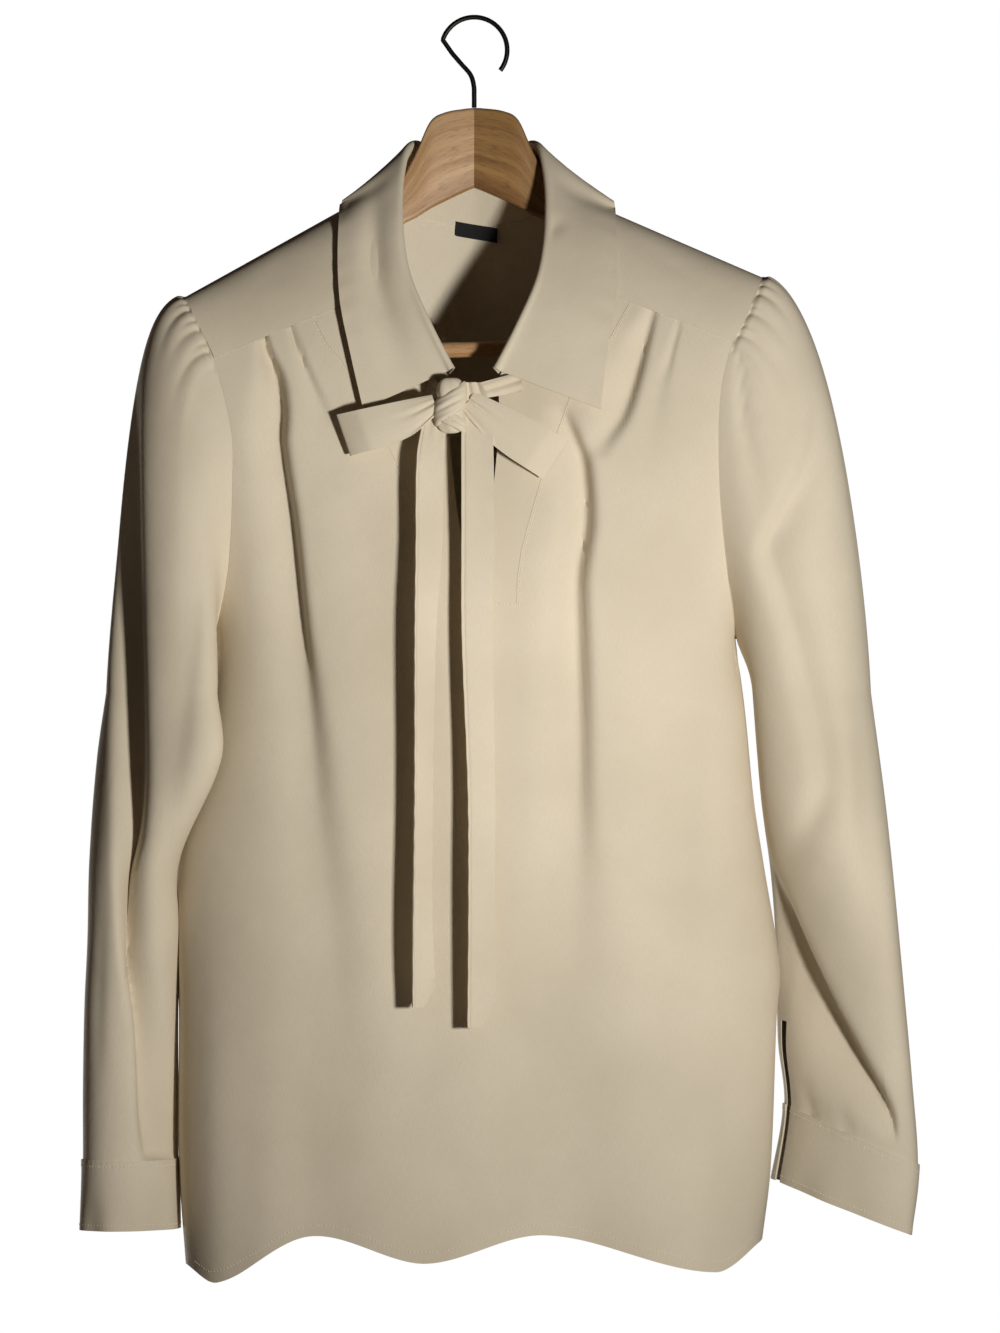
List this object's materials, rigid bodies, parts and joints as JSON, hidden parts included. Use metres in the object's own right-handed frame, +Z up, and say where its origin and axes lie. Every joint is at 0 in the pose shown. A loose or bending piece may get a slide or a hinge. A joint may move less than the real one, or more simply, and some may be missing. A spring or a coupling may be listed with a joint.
{
  "type": "tie neck blouse on a wooden hanger",
  "caption": "Long-sleeved blouse with a pointed collar, a tied bow and an open neck slit, hanging on a contoured wooden hanger with a wire hook.",
  "frame": {"origin": "top of the hook's inside, where a rail carries the hanger", "axes": "+Z up, the front faces -Y, +X is the viewer's right"},
  "size_m": [0.544, 0.136, 0.8254],
  "materials": {
    "cloth": "matt crepe",
    "label": "matt woven",
    "oak": "satin oiled",
    "wire": "dark satin"
  },
  "bodies": {
    "root": {"front": "cloth", "back": "cloth", "sleeve_left": "cloth", "sleeve_right": "cloth", "cuff_left": "cloth", "cuff_right": "cloth", "collar": "cloth", "tie_knot": "cloth", "bow_loop_left": "cloth", "bow_loop_right": "cloth", "tie_tail_left": "cloth", "tie_tail_right": "cloth", "tie_neck_left": "cloth", "tie_neck_right": "cloth", "neck_label": "label", "hanger_arm_left": "oak", "hanger_arm_right": "oak", "hanger_bar": "oak", "hanger_hook": "wire"}
  },
  "joints": []
}
